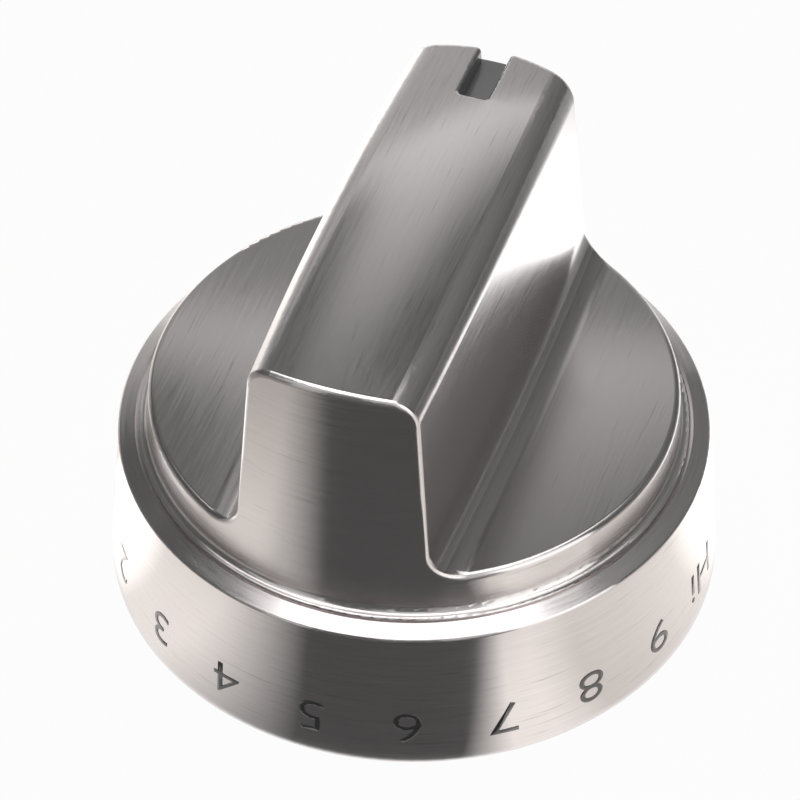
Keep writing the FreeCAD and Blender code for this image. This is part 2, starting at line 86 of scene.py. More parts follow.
def linear(hex_colour: str) -> tuple[float, float, float, float]:
    """Turns an sRGB hex colour into a linear colour with full alpha.

    Args:
        hex_colour: Six hex digits, such as "DAD5CE".

    Returns:
        The four linear components.
    """
    parts = [int(hex_colour[i:i + 2], 16) / 255 for i in (0, 2, 4)]
    lin = [c / 12.92 if c <= 0.04045 else ((c + 0.055) / 1.055) ** 2.4 for c in parts]
    return (*lin, 1.0)


def add_node(tree: Tree, kind: str, settings: dict | None = None, inputs: dict | None = None) -> Node:
    """Adds one shader node, sets its properties and fills its sockets.

    Args:
        tree: The node tree that takes the node.
        kind: The node's type name without "ShaderNode" in front.
        settings: Properties to set on the node.
        inputs: Socket names or numbers, each with a value, an output socket to link, or a node whose first
            output is linked.

    Returns:
        The new node.
    """
    node = tree.nodes.new("ShaderNode" + kind)
    for name, value in (settings or {}).items():
        setattr(node, name, value)
    for name, value in (inputs or {}).items():
        if isinstance(value, Node):
            value = value.outputs[0]
        if isinstance(value, Socket):
            tree.links.new(value, node.inputs[name])
        else:
            node.inputs[name].default_value = value
    return node


def ramp(tree: Tree, value: Value, stops: Stops) -> Node:
    """Draws a broken line over a value, level beyond its two ends.

    Args:
        tree: The node tree.
        value: What the line runs along.
        stops: Pairs of a place and the height there, in rising order.

    Returns:
        The node that carries the height.
    """
    height = stops[0][1]
    for (left, low), (right, high) in zip(stops, stops[1:]):
        rise = add_node(tree, "MapRange", {}, {0: value, 1: left, 2: right, 3: 0.0, 4: high - low})
        height = add_node(tree, "Math", {"operation": "ADD"}, {0: height, 1: rise})
    return height


def node_material(name: str, surface: Callable[[Tree], Node]) -> bpy.types.Material:
    """Makes a node material.

    Args:
        name: The material's name.
        surface: Adds the nodes to the empty tree and returns the one that is shown.

    Returns:
        The finished material.
    """
    material = bpy.data.materials.new(name)
    material.use_nodes = True
    material.node_tree.nodes.clear()
    add_node(material.node_tree, "OutputMaterial", {}, {0: surface(material.node_tree)})
    return material


def uneven_shine(tree: Tree, patch: float, octaves: float, roughness: float,
                 spread: float) -> tuple[Node, Node]:
    """Makes a surface duller and shinier in soft patches.

    Args:
        tree: The material's node tree.
        patch: A patch's size in millimetres.
        octaves: How many finer octaves the patches have.
        roughness: The mean roughness.
        spread: How far the roughness goes up and down from there.

    Returns:
        The nodes that carry the patches and the roughness.
    """
    point = add_node(tree, "TexCoord").outputs["Object"]
    patches = add_node(tree, "TexNoise", {}, {"Vector": point, "Scale": 1 / (patch * MM), "Detail": octaves})
    rough = add_node(tree, "MapRange", {}, {0: patches, 1: NOISE_LOW, 2: NOISE_HIGH,
                                            3: roughness - spread, 4: roughness + spread})
    return patches, rough


# Meshes

def deselect_all() -> None:
    """Leaves edit mode and deselects every object."""
    if bpy.context.object and bpy.context.object.mode != "OBJECT":
        bpy.ops.object.mode_set(mode="OBJECT")
    bpy.ops.object.select_all(action="DESELECT")


def make_active(obj: bpy.types.Object) -> None:
    """Selects one object alone and makes it the active one.

    Args:
        obj: The object.
    """
    deselect_all()
    obj.select_set(True)
    bpy.context.view_layer.objects.active = obj


def settle(obj: bpy.types.Object) -> None:
    """Applies an object's place, turn and scale to its mesh."""
    make_active(obj)
    bpy.ops.object.transform_apply(location=True, rotation=True, scale=True)


def weld(obj: bpy.types.Object) -> None:
    """Joins the corners of a mesh that lie in one place.

    Args:
        obj: The mesh object.
    """
    make_active(obj)
    bpy.ops.object.mode_set(mode="EDIT")
    bpy.ops.mesh.select_all(action="SELECT")
    bpy.ops.mesh.remove_doubles(threshold=WELD * MM)
    bpy.ops.object.mode_set(mode="OBJECT")


def thicken(obj: bpy.types.Object, thickness: float, offset: float) -> None:
    """Gives an open mesh a thickness.

    Args:
        obj: The mesh object.
        thickness: The thickness in millimetres.
        offset: Where it lies, from -1 below the faces to 1 above them.
    """
    make_active(obj)
    bpy.ops.object.modifier_add(type="SOLIDIFY")
    wall = obj.modifiers[-1]
    wall.thickness, wall.offset = thickness * MM, offset
    bpy.ops.object.modifier_apply(modifier=wall.name)


def keep_faces(obj: bpy.types.Object, wanted: Callable[[bpy.types.MeshPolygon], bool]) -> None:
    """Deletes each face of a mesh that isn't wanted.

    Args:
        obj: The mesh object.
        wanted: Tells for a face whether it stays.
    """
    make_active(obj)
    bpy.ops.object.mode_set(mode="EDIT")
    bpy.ops.mesh.select_mode(type="FACE")
    bpy.ops.mesh.select_all(action="DESELECT")
    bpy.ops.object.mode_set(mode="OBJECT")
    for face in obj.data.polygons:
        face.select = not wanted(face)
    bpy.ops.object.mode_set(mode="EDIT")
    bpy.ops.mesh.delete(type="FACE")
    bpy.ops.object.mode_set(mode="OBJECT")


# Finishes

class Brushing(Enum):
    """Which way the belt or the lathe has drawn the scratches."""

    ROUND = "round"
    GRIP = "grip"


@dataclass(frozen=True)
class Lay:
    """How the scratches lie at each point of a material. Lengths in it are metres.

    Attributes:
        direction: The way that the scratches run.
        along: The place along them.
        across: The radius, or x on the bar, which is across them.
        height: The z, which is across them too.
        turned: 1 where they run round the axis, 0 where they run along the bar.
        pocket: 1 in the finger pockets, which take a painted shade, 0 elsewhere.
    """

    direction: Value
    along: Value
    across: Value
    height: Value
    turned: Value
    pocket: Value


@dataclass(frozen=True)
class Scratches:
    """One layer of scratches, quick across them and slow along them.

    Attributes:
        width: A scratch's width in millimetres.
        length: A scratch's length in millimetres.
        octaves: How many finer octaves the layer has.
        harshness: How strong each finer octave is against the one before.
    """

    width: float
    length: float
    octaves: float
    harshness: float = 0.5

    def build(self, tree: Tree, lay: Lay) -> Node:
        """Draws the layer.

        Args:
            tree: The material's node tree.
            lay: How the scratches lie.

        Returns:
            The node that carries the scratch height, from 0 to 1.
        """
        along = add_node(tree, "VectorMath", {"operation": "SCALE"},
                         {0: lay.along, "Scale": 1 / (self.length * MM)})
        across, height = (add_node(tree, "Math", {"operation": "MULTIPLY"},
                                   {0: way, 1: 1 / (self.width * MM)})
                          for way in (lay.across, lay.height))
        height = add_node(tree, "CombineXYZ", {}, {"Z": height})
        point = add_node(tree, "VectorMath", {"operation": "ADD"}, {0: along, 1: height})
        return add_node(tree, "TexNoise", {"noise_dimensions": "4D"},
                        {"Vector": point, "W": across, "Scale": 1.0, "Detail": self.octaves,
                         "Roughness": self.harshness})


@dataclass(frozen=True)
class Finish:
    """What every finish shares: the material's name, and a surface made of nodes."""

    name: str

    def build(self) -> bpy.types.Material:
        """Returns the finished material."""
        return node_material(self.name, self._surface)

    def _surface(self, tree: Tree) -> Node:
        """Wires the finish, which each finish does in its own way.

        Args:
            tree: The material's empty node tree.

        Returns:
            The shader.
        """
        raise NotImplementedError


@dataclass(frozen=True)
class BrushedSteel(Finish):
    """Satin brushed stainless look: plated metal, scratched by an abrasive belt.

    The scratches lie all one way, so a highlight is drawn out across them and stays sharp along them. Real
    ones are a few hundredths of a millimetre wide, and these are as coarse as they need to be to show.

    Attributes:
        brushing: Which way the scratches are drawn.
        colour: The metal's colour.
        scratch_colour: Its colour in the deepest scratches.
        roughness: How dull the straight brushed faces are.
        turned_roughness: How dull the faces that are brushed round the axis are.
        roughness_change: What the scratches add to either, over the scratch height.
        anisotropy: How far a highlight is drawn out across the scratches.
        fine: The layer of fine scratches.
        coarse: The layer of coarse ones.
        coarse_share: How strong the coarse layer is against the fine one.
        darkness: The share of scratch_colour, over the scratch height.
        relief: The height of the scratches in millimetres.
        pocket_top: The height below which a straight brushed face belongs to a finger pocket.
        pocket_painted_shade: The colour's share there, a painted shade that darkens the finger pockets.
        wall_radius: The radius outside of which a face that looks outwards is the round wall.
        wall_facing: The outward share of the normal at which a face there starts to be brushed round the
            axis, and at which it is fully so.
        cove_height: The height below which everything is brushed round the axis.
    """

    brushing: Brushing
    colour: str = "F2EDEC"
    scratch_colour: str = "D6D1D0"
    roughness: float = 0.155
    turned_roughness: float = 0.20
    roughness_change: Stops = ((0.45, -0.02), (0.95, 0.02))
    anisotropy: float = 0.96
    fine: Scratches = Scratches(0.17, 4.5, 2.0)
    coarse: Scratches = Scratches(0.38, 9.0, 1.0)
    coarse_share: float = 0.4
    darkness: Stops = ((0.42, 1.0), (0.54, 0.3), (0.95, 0.0))
    relief: float = 0.0001
    pocket_top: float = 20.6
    # A painted shade: the finger pockets keep only this share of the metal's colour.
    pocket_painted_shade: float = 0.76
    wall_radius: float = 19.5
    wall_facing: tuple[float, float] = (0.6, 0.75)
    cove_height: float = 16.95

    def _surface(self, tree: Tree) -> Node:
        """Wires the metal.

        Args:
            tree: The material's empty node tree.

        Returns:
            The shader.
        """
        place = add_node(tree, "TexCoord")
        normal = place.outputs["Normal"]
        lay = self._lay(tree, place.outputs["Object"], normal)
        coarse = add_node(tree, "Math", {"operation": "MULTIPLY"},
                          {0: self.coarse.build(tree, lay), 1: self.coarse_share})
        scratches = add_node(tree, "Math", {"operation": "ADD"}, {0: coarse, 1: self.fine.build(tree, lay)})
        rough = add_node(tree, "Mix", {"data_type": "FLOAT"},
                         {0: lay.turned, 2: self.roughness, 3: self.turned_roughness})
        rough = add_node(tree, "Math", {"operation": "ADD"},
                         {0: rough, 1: ramp(tree, scratches, self.roughness_change)})
        # Most scratches hardly show; the deepest few are a shade darker.
        colour = add_node(tree, "Mix", {"data_type": "RGBA"},
                          {0: ramp(tree, scratches, self.darkness), 6: linear(self.colour),
                           7: linear(self.scratch_colour)}).outputs[2]
        # The finger pockets are darkened against the bar: a painted shade that stands in for the dimmer light
        # they mirror.
        shade = add_node(tree, "MapRange", {}, {0: lay.pocket, 3: 1.0, 4: self.pocket_painted_shade})
        colour = add_node(tree, "VectorMath", {"operation": "SCALE"}, {0: colour, "Scale": shade})
        bump = add_node(tree, "Bump", {},
                        {"Strength": 1.0, "Distance": self.relief * MM, "Height": scratches})
        tangent = add_node(tree, "VectorMath", {"operation": "CROSS_PRODUCT"}, {0: normal, 1: lay.direction})
        return add_node(tree, "BsdfPrincipled", {},
                        {"Base Color": colour, "Metallic": 1.0, "Roughness": rough,
                         "Anisotropic": self.anisotropy, "Normal": bump, "Tangent": tangent})

    def _lay(self, tree: Tree, point: Socket, normal: Socket) -> Lay:
        """Works out how the scratches lie at each point.

        Args:
            tree: The material's node tree.
            point: The point's place.
            normal: The surface normal there.

        Returns:
            The lay of the scratches.
        """
        axes = add_node(tree, "SeparateXYZ", {}, {0: point})
        height = axes.outputs["Z"]
        outward = add_node(tree, "VectorMath", {"operation": "MULTIPLY"}, {0: point, 1: (1, 1, 0)})
        radius = add_node(tree, "VectorMath", {"operation": "LENGTH"}, {0: outward}).outputs["Value"]
        around = add_node(tree, "VectorMath", {"operation": "CROSS_PRODUCT"}, {0: (0, 0, 1), 1: outward})
        around = add_node(tree, "VectorMath", {"operation": "NORMALIZE"}, {0: around})
        if self.brushing is Brushing.ROUND:
            return Lay(around, outward, radius, height, turned=1.0, pocket=0.0)
        turned = self._turned_share(tree, outward, radius, normal, height)
        direction = add_node(tree, "Mix", {"data_type": "VECTOR"}, {0: turned, 4: (0, 1, 0), 5: around})
        bar = add_node(tree, "VectorMath", {"operation": "MULTIPLY"}, {0: point, 1: (0, 1, 0)})
        along = add_node(tree, "Mix", {"data_type": "VECTOR"}, {0: turned, 4: bar, 5: outward})
        across = add_node(tree, "Mix", {"data_type": "FLOAT"}, {0: turned, 2: axes.outputs["X"], 3: radius})
        straight = add_node(tree, "Math", {"operation": "SUBTRACT"}, {0: 1.0, 1: turned})
        low = add_node(tree, "Math", {"operation": "LESS_THAN"}, {0: height, 1: self.pocket_top * MM})
        pocket = add_node(tree, "Math", {"operation": "MULTIPLY"}, {0: low, 1: straight})
        return Lay(direction.outputs[1], along.outputs[1], across, height, turned, pocket)

    def _turned_share(self, tree: Tree, outward: Value, radius: Value, normal: Value, height: Value) -> Node:
        """Tells the round wall and cove (1) from the bar and the finger pockets (0).

        Args:
            tree: The material's node tree.
            outward: The point's x and y.
            radius: The point's distance from the axis.
            normal: The surface normal.
            height: The point's z.

        Returns:
            The node that carries the share.
        """
        spoke = add_node(tree, "VectorMath", {"operation": "NORMALIZE"}, {0: outward})
        facing = add_node(tree, "VectorMath", {"operation": "DOT_PRODUCT"}, {0: spoke, 1: normal})
        none, full = self.wall_facing
        facing = add_node(tree, "MapRange", {}, {0: facing.outputs["Value"], 1: none, 2: full})
        outer = add_node(tree, "Math", {"operation": "GREATER_THAN"}, {0: radius, 1: self.wall_radius * MM})
        wall = add_node(tree, "Math", {"operation": "MULTIPLY"}, {0: facing, 1: outer})
        cove = add_node(tree, "Math", {"operation": "LESS_THAN"}, {0: height, 1: self.cove_height * MM})
        return add_node(tree, "Math", {"operation": "MAXIMUM"}, {0: wall, 1: cove})


@dataclass(frozen=True)
class MouldedPlastic(Finish):
    """Glass-filled polyamide, injection moulded: near black, dulled by a spark-eroded grain.

    The grain is drawn coarser than a real one, so that it shows, and the melt's flow leaves the shine uneven.
    """

    colour: str = "1E1F21"
    roughness: float = 0.48
    roughness_spread: float = 0.06
    ior: float = 1.53
    flow: float = 6.0
    flow_octaves: float = 2.0
    grain: float = 0.22
    grain_octaves: float = 3.0
    grain_harshness: float = 0.6
    relief: float = 0.004

    def _surface(self, tree: Tree) -> Node:
        """Wires the plastic.

        Args:
            tree: The material's empty node tree.

        Returns:
            The shader.
        """
        point = add_node(tree, "TexCoord").outputs["Object"]
        grain = add_node(tree, "TexNoise", {},
                         {"Vector": point, "Scale": 1 / (self.grain * MM), "Detail": self.grain_octaves,
                          "Roughness": self.grain_harshness})
        _, rough = uneven_shine(tree, self.flow, self.flow_octaves, self.roughness, self.roughness_spread)
        bump = add_node(tree, "Bump", {}, {"Strength": 1.0, "Distance": self.relief * MM, "Height": grain})
        return add_node(tree, "BsdfPrincipled", {},
                        {"Base Color": linear(self.colour), "Roughness": rough, "IOR": self.ior,
                         "Normal": bump})


@dataclass(frozen=True)
class SheetMetal(Finish):
    """Rolled or plated steel: faint rolling marks and a slightly uneven shine."""

    colour: str
    roughness: float
    roughness_spread: float = 0.07
    mottle: float = 1.2
    mottle_octaves: float = 4.0
    relief: float = 0.001

    def _surface(self, tree: Tree) -> Node:
        """Wires the metal.

        Args:
            tree: The material's empty node tree.

        Returns:
            The shader.
        """
        marks, rough = uneven_shine(tree, self.mottle, self.mottle_octaves, self.roughness,
                                    self.roughness_spread)
        bump = add_node(tree, "Bump", {}, {"Strength": 1.0, "Distance": self.relief * MM, "Height": marks})
        return add_node(tree, "BsdfPrincipled", {},
                        {"Base Color": linear(self.colour), "Metallic": 1.0, "Roughness": rough,
                         "Normal": bump})


@dataclass(frozen=True)
class PadInk(Finish):
    """Two-part printing ink or enamel: grey, with a smooth skin that mirrors its surroundings softly."""

    colour: str = "444446"
    roughness: float = 0.36
    roughness_spread: float = 0.05
    skin_roughness: float = 0.12
    ior: float = 1.62
    mottle: float = 0.3
    mottle_octaves: float = 2.0

    def _surface(self, tree: Tree) -> Node:
        """Wires the ink.

        Args:
            tree: The material's empty node tree.

        Returns:
            The shader.
        """
        _, rough = uneven_shine(tree, self.mottle, self.mottle_octaves, self.roughness, self.roughness_spread)
        return add_node(tree, "BsdfPrincipled", {},
                        {"Base Color": linear(self.colour), "Roughness": rough, "IOR": self.ior,
                         "Coat Weight": 1.0, "Coat Roughness": self.skin_roughness, "Coat IOR": self.ior})


# The knob

class Part:
    """What every sub-assembly shares: dressing a CAD node and putting a new piece on the knob."""

    def __init__(self, frame: dict) -> None:
        """Keeps the frame's CAD nodes."""
        self.nodes = frame["nodes"]

    def dress(self, node: str, finish: bpy.types.Material, slot: str) -> None:
        """Gives a CAD node its finish.

        Args:
            node: The CAD node's name.
            finish: The material for all its faces.
            slot: The record's material slot.
        """
        solid = self.nodes[node]
        solid.data.materials.clear()
        solid.data.materials.append(finish)
        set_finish(solid, slot)
        log.info("%s: %s", node, finish.name)

    def mount(self, piece: bpy.types.Object, finish: bpy.types.Material, slot: str) -> None:
        """Gives a new piece its finish and fixes it to the knob.

        Args:
            piece: The finished mesh object.
            finish: Its material.
            slot: The record's material slot.
        """
        piece.data.materials.clear()
        piece.data.materials.append(finish)
        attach(piece, "root")
        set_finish(piece, slot)
        log.info("%s: %s, %d faces", piece.name, finish.name, len(piece.data.polygons))


@dataclass(frozen=True)
class PaintSizes:
    """Where the pointer slot's paint lies, in millimetres.

    Attributes:
        half_width: Half the width in which the slot's walls are looked for.
        start: The y from which they are.
        mouth_drop: How far below the grip's top the rounded mouth ends and the paint begins.
        floor_drop: How far below the grip's top the slot's floor lies at most.
        end_facing: Faces that look this squarely towards +Y stay bare, which are the bar's end and the slot's
            inner end.
        coat: The paint's thickness.
    """

    half_width: float = 1.6
    start: float = 13.0
    mouth_drop: float = 0.55
    floor_drop: float = 3.9
    end_facing: float = 0.9
    coat: float = 0.02


class Grip(Part):
    """The brushed grip with the painted pointer slot."""

    def __init__(self, frame: dict, sizes: PaintSizes = PaintSizes()) -> None:
        """Keeps the CAD nodes and the sizes."""
        super().__init__(frame)
        self.sizes = sizes

    def build(self, metal: bpy.types.Material, paint: bpy.types.Material) -> None:
        """Dresses the grip and paints the slot.

        Args:
            metal: The brushed finish.
            paint: The dark paint in the pointer slot.
        """
        self.dress("grip_body", metal, "grip_metal")
        self.mount(self._pointer_paint(), paint, "grip_metal")

    def _pointer_paint(self) -> bpy.types.Object:
        """Lifts the slot's floor and lower walls off a copy of the grip, as a coat of paint.

        Returns:
            The coat as an object.
        """
        size = self.sizes
        coat = self.nodes["grip_body"].copy()
        coat.data = coat.data.copy()
        coat.name = coat.data.name = "pointer_paint"
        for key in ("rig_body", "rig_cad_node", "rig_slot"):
            if key in coat:
                del coat[key]
        coat.parent = None
        bpy.context.scene.collection.objects.link(coat)
        make_active(coat)
        bpy.ops.object.mode_set(mode="EDIT")
        bpy.ops.mesh.customdata_custom_splitnormals_clear()
        bpy.ops.object.mode_set(mode="OBJECT")
        weld(coat)
        top = max(v.co.z for v in coat.data.vertices) / MM
        highest, lowest = top - size.mouth_drop, top - size.floor_drop

        def in_slot(face: bpy.types.MeshPolygon) -> bool:
            """Tells the slot's faces below its rounded mouth from the grip's other faces.

            Args:
                face: A face of the coat.

            Returns:
                True where the face is painted.
            """
            x, y, z = face.center / MM
            inside = abs(x) < size.half_width and y > size.start and lowest < z < highest
            return inside and face.normal.y < size.end_facing

        keep_faces(coat, in_slot)
        thicken(coat, size.coat, 1.0)
        return coat


@dataclass(frozen=True)
class PrintSizes:
    """The dial's printed figures, in millimetres and degrees.

    Attributes:
        figures: What is printed, in the order of the angles.
        middle: The place in figures that is printed opposite the pointer.
        pitch: The angle from one figure to the next.
        turn: The angle by which all of these are turned.
        pointer_end: What is printed below the pointer.
        height: A figure's height.
        widen: How much wider it is than the typeface draws it.
        thin: How far its outline moves, as a share of the typeface's size. Below 0 it makes thinner strokes.
        curve_steps: How many straight pieces a curve of the typeface has.
        centre_height: The height of a figure's middle on the wall.
        strip: The width of the strips that let a figure bend round the wall.
        lift: How far the middle of the ink is off the wall.
        ink: The ink's thickness.
        bottom_radius: The wall's radius at the table.
        flare: How much smaller that radius is at the wall's top.
        wall_height: The height of the wall's top.
    """

    figures: tuple[str, ...] = ("Lo", "1", "2", "3", "4", "5", "6", "7", "8", "9", "Hi")
    middle: int = 5
    pitch: float = 18.2
    turn: float = -0.5
    pointer_end: str = "OFF"
    height: float = 3.6
    widen: float = 1.2
    thin: float = -0.007
    curve_steps: int = 6
    centre_height: float = 4.4
    strip: float = 0.25
    lift: float = 0.012
    ink: float = 0.02
    bottom_radius: float = 28.09
    flare: float = 1.0
    wall_height: float = 15.15


class DialSkirt(Part):
    """The turned and brushed dial skirt with its printed figures."""

    def __init__(self, frame: dict, sizes: PrintSizes = PrintSizes()) -> None:
        """Keeps the CAD nodes and the sizes."""
        super().__init__(frame)
        self.sizes = sizes

    def build(self, metal: bpy.types.Material, ink: bpy.types.Material) -> None:
        """Dresses the skirt and prints the figures round it.

        Args:
            metal: The brushed finish.
            ink: The pad printing ink.
        """
        size = self.sizes
        self.dress("skirt_ring", metal, "skirt_metal")
        for place, text in enumerate(size.figures):
            turn = math.radians((place - size.middle) * size.pitch + size.turn)
            self.mount(self._figure(text, turn), ink, "skirt_metal")
        self.mount(self._figure(size.pointer_end, math.pi), ink, "skirt_metal")

    def _figure(self, text: str, turn: float) -> bpy.types.Object:
        """Prints one figure: a text made a mesh, cut into strips, laid on the flared wall and thickened.

        Args:
            text: The figure or word.
            turn: Its angle from the point opposite the pointer, in radians.

        Returns:
            The printed figure as an object.
        """
        size = self.sizes
        figure = self._lettering(text)
        self._cut_to_strips(figure)
        for v in figure.data.vertices:
            z = v.co.z + size.centre_height * MM
            radius = (size.bottom_radius + size.lift - size.flare * z / MM / size.wall_height) * MM
            angle = v.co.x / radius + turn
            v.co = (radius * math.sin(angle), -radius * math.cos(angle), z)
        weld(figure)
        thicken(figure, size.ink, 0.0)
        return figure

    def _lettering(self, text: str) -> bpy.types.Object:
        """Draws one figure flat, upright and at its size, with its middle at the origin.

        Args:
            text: The figure or word.

        Returns:
            The flat figure as a mesh object.
        """
        size = self.sizes
        deselect_all()
        bpy.ops.object.text_add(location=(0, 0, 0))
        label = bpy.context.object
        label.data.body = text
        label.data.align_x, label.data.align_y = "CENTER", "BOTTOM_BASELINE"
        label.data.resolution_u = size.curve_steps
        label.data.offset = size.thin
        bpy.ops.object.convert(target="MESH")
        label = bpy.context.object
        label.name = label.data.name = f"figure_{text}"
        left, right = (pick(v.co.x for v in label.data.vertices) for pick in (min, max))
        low, high = (pick(v.co.y for v in label.data.vertices) for pick in (min, max))
        tall = size.height * MM / (high - low)
        wide = tall * size.widen
        # The dial is read from the rim side, so each figure stands on its head and its top is at the rim.
        label.location = (wide * (left + right) / 2, 0, tall * (low + high) / 2)
        label.rotation_euler = (math.pi / 2, math.pi, 0)
        label.scale = (wide, tall, tall)
        settle(label)
        return label

    def _cut_to_strips(self, figure: bpy.types.Object) -> None:
        """Cuts a flat figure into upright strips, so that it can bend.

        Args:
            figure: The flat figure.
        """
        strip = self.sizes.strip * MM
        steps = int(max(abs(v.co.x) for v in figure.data.vertices) / strip) + 1
        make_active(figure)
        bpy.ops.object.mode_set(mode="EDIT")
        for step in range(-steps, steps + 1):
            bpy.ops.mesh.select_all(action="SELECT")
            bpy.ops.mesh.bisect(plane_co=(step * strip, 0, 0), plane_no=(1, 0, 0))
        bpy.ops.object.mode_set(mode="OBJECT")


class Hub(Part):
    """The moulded hub behind the grip, with its spring, band and screws."""

    def build(self, plastic: bpy.types.Material, spring: bpy.types.Material,
              band: bpy.types.Material, zinc: bpy.types.Material) -> None:
        """Dresses the hub and what is mounted on it.

        Args:
            plastic: The hub's moulding.
            spring: The leaf spring's finish.
            band: The ferrule's finish.
            zinc: The screws' plating.
        """
        self.dress("hub_insert", plastic, "hub_plastic")
        self.dress("shaft_spring", spring, "spring_steel")
        self.dress("hub_ferrule", band, "band_steel")
        for node in ("insert_screw_1", "insert_screw_2"):
            self.dress(node, zinc, "screw_zinc")


# The studio

def leave_to_the_metal(card: bpy.types.Object) -> None:
    """Makes a card one that only reflections see: no picture of it, no shadow and no light on the table."""
    card.visible_camera = card.visible_shadow = card.visible_diffuse = False


@dataclass(frozen=True)
class Floor:
    """A round table top of white paper that turns up into a low wall far behind the knob.

    The camera and the metal see it just short of white, and it keeps the knob's shadow.

    Attributes:
        radius: The table top's radius.
        sides: How many sides its circle has.
        drop: How far it is below the knob.
        rises: The wall's two bands, each with its height and how much wider its rim is than the one below.
        colour: The paper's colour.
        glow: The share of pure white in what the camera and the metal see.
    """

    radius: float = 2400.0
    sides: int = 128
    drop: float = 0.02
    rises: Stops = ((10, 1.03), (20, 1.01))
    colour: str = "F8F8F8"
    glow: float = 0.96

    def build(self) -> None:
        """Builds the table top and the wall."""
        deselect_all()
        bpy.ops.mesh.primitive_circle_add(vertices=self.sides, radius=self.radius * MM, fill_type="NGON",
                                          location=(0, 0, -self.drop * MM))
        floor = bpy.context.object
        floor.name = "floor"
        bpy.ops.object.mode_set(mode="EDIT")
        bpy.ops.mesh.select_all(action="SELECT")
        for rise, grow in self.rises:
            bpy.ops.mesh.extrude_region_move(TRANSFORM_OT_translate={"value": (0, 0, rise * MM)})
            bpy.ops.transform.resize(value=(grow, grow, 1))
        bpy.ops.mesh.delete(type="ONLY_FACE")
        bpy.ops.object.mode_set(mode="OBJECT")
        floor.data.materials.append(node_material("white_paper", self._surface))

    def _surface(self, tree: Tree) -> Node:
        """Wires the paper.

        Args:
            tree: The material's empty node tree.

        Returns:
            The shader.
        """
        rays = add_node(tree, "LightPath")
        seen = rays.outputs["Is Camera Ray"]
        for ray in ("Is Glossy Ray", "Is Transmission Ray"):
            seen = add_node(tree, "Math", {"operation": "MAXIMUM"}, {0: seen, 1: rays.outputs[ray]})
        share = add_node(tree, "Math", {"operation": "MULTIPLY"}, {0: seen, 1: self.glow})
        paper = add_node(tree, "BsdfDiffuse", {}, {0: linear(self.colour)})
        glow = add_node(tree, "Emission", {}, {0: WHITE, 1: 1.0})
        return add_node(tree, "MixShader", {}, {0: share, 1: paper, 2: glow})


@dataclass(frozen=True)
class SoftEdge:
    """A straight soft edge on the table, and which side of it counts.

    Attributes:
        x: A point on the edge, in millimetres.
        y: That point's y.
        heading: The way the edge runs, in degrees.
        softness: Half the width of the change, in millimetres.
        side: 1 for the side left of the heading, -1 for the side right of it.
    """

    x: float
    y: float
    heading: float
    softness: float
    side: int

    def share(self, tree: Tree, x: Value, y: Value) -> Node:
        """Tells the side that counts from the other.

        Args:
            tree: The node tree.
            x: The table's x, in metres.
            y: The table's y, in metres.

        Returns:
            The node that carries the share, from 0 to 1.
        """
        sine, cosine = math.sin(math.radians(self.heading)), math.cos(math.radians(self.heading))
        east = add_node(tree, "Math", {"operation": "MULTIPLY"}, {0: x, 1: -self.side * sine / MM})
        north = add_node(tree, "Math", {"operation": "MULTIPLY"}, {0: y, 1: self.side * cosine / MM})
        edge = self.side * (self.y * cosine - self.x * sine)
        return ramp(tree, add_node(tree, "Math", {"operation": "ADD"}, {0: east, 1: north}),
                    ((edge - self.softness, 0.0), (edge + self.softness, 1.0)))


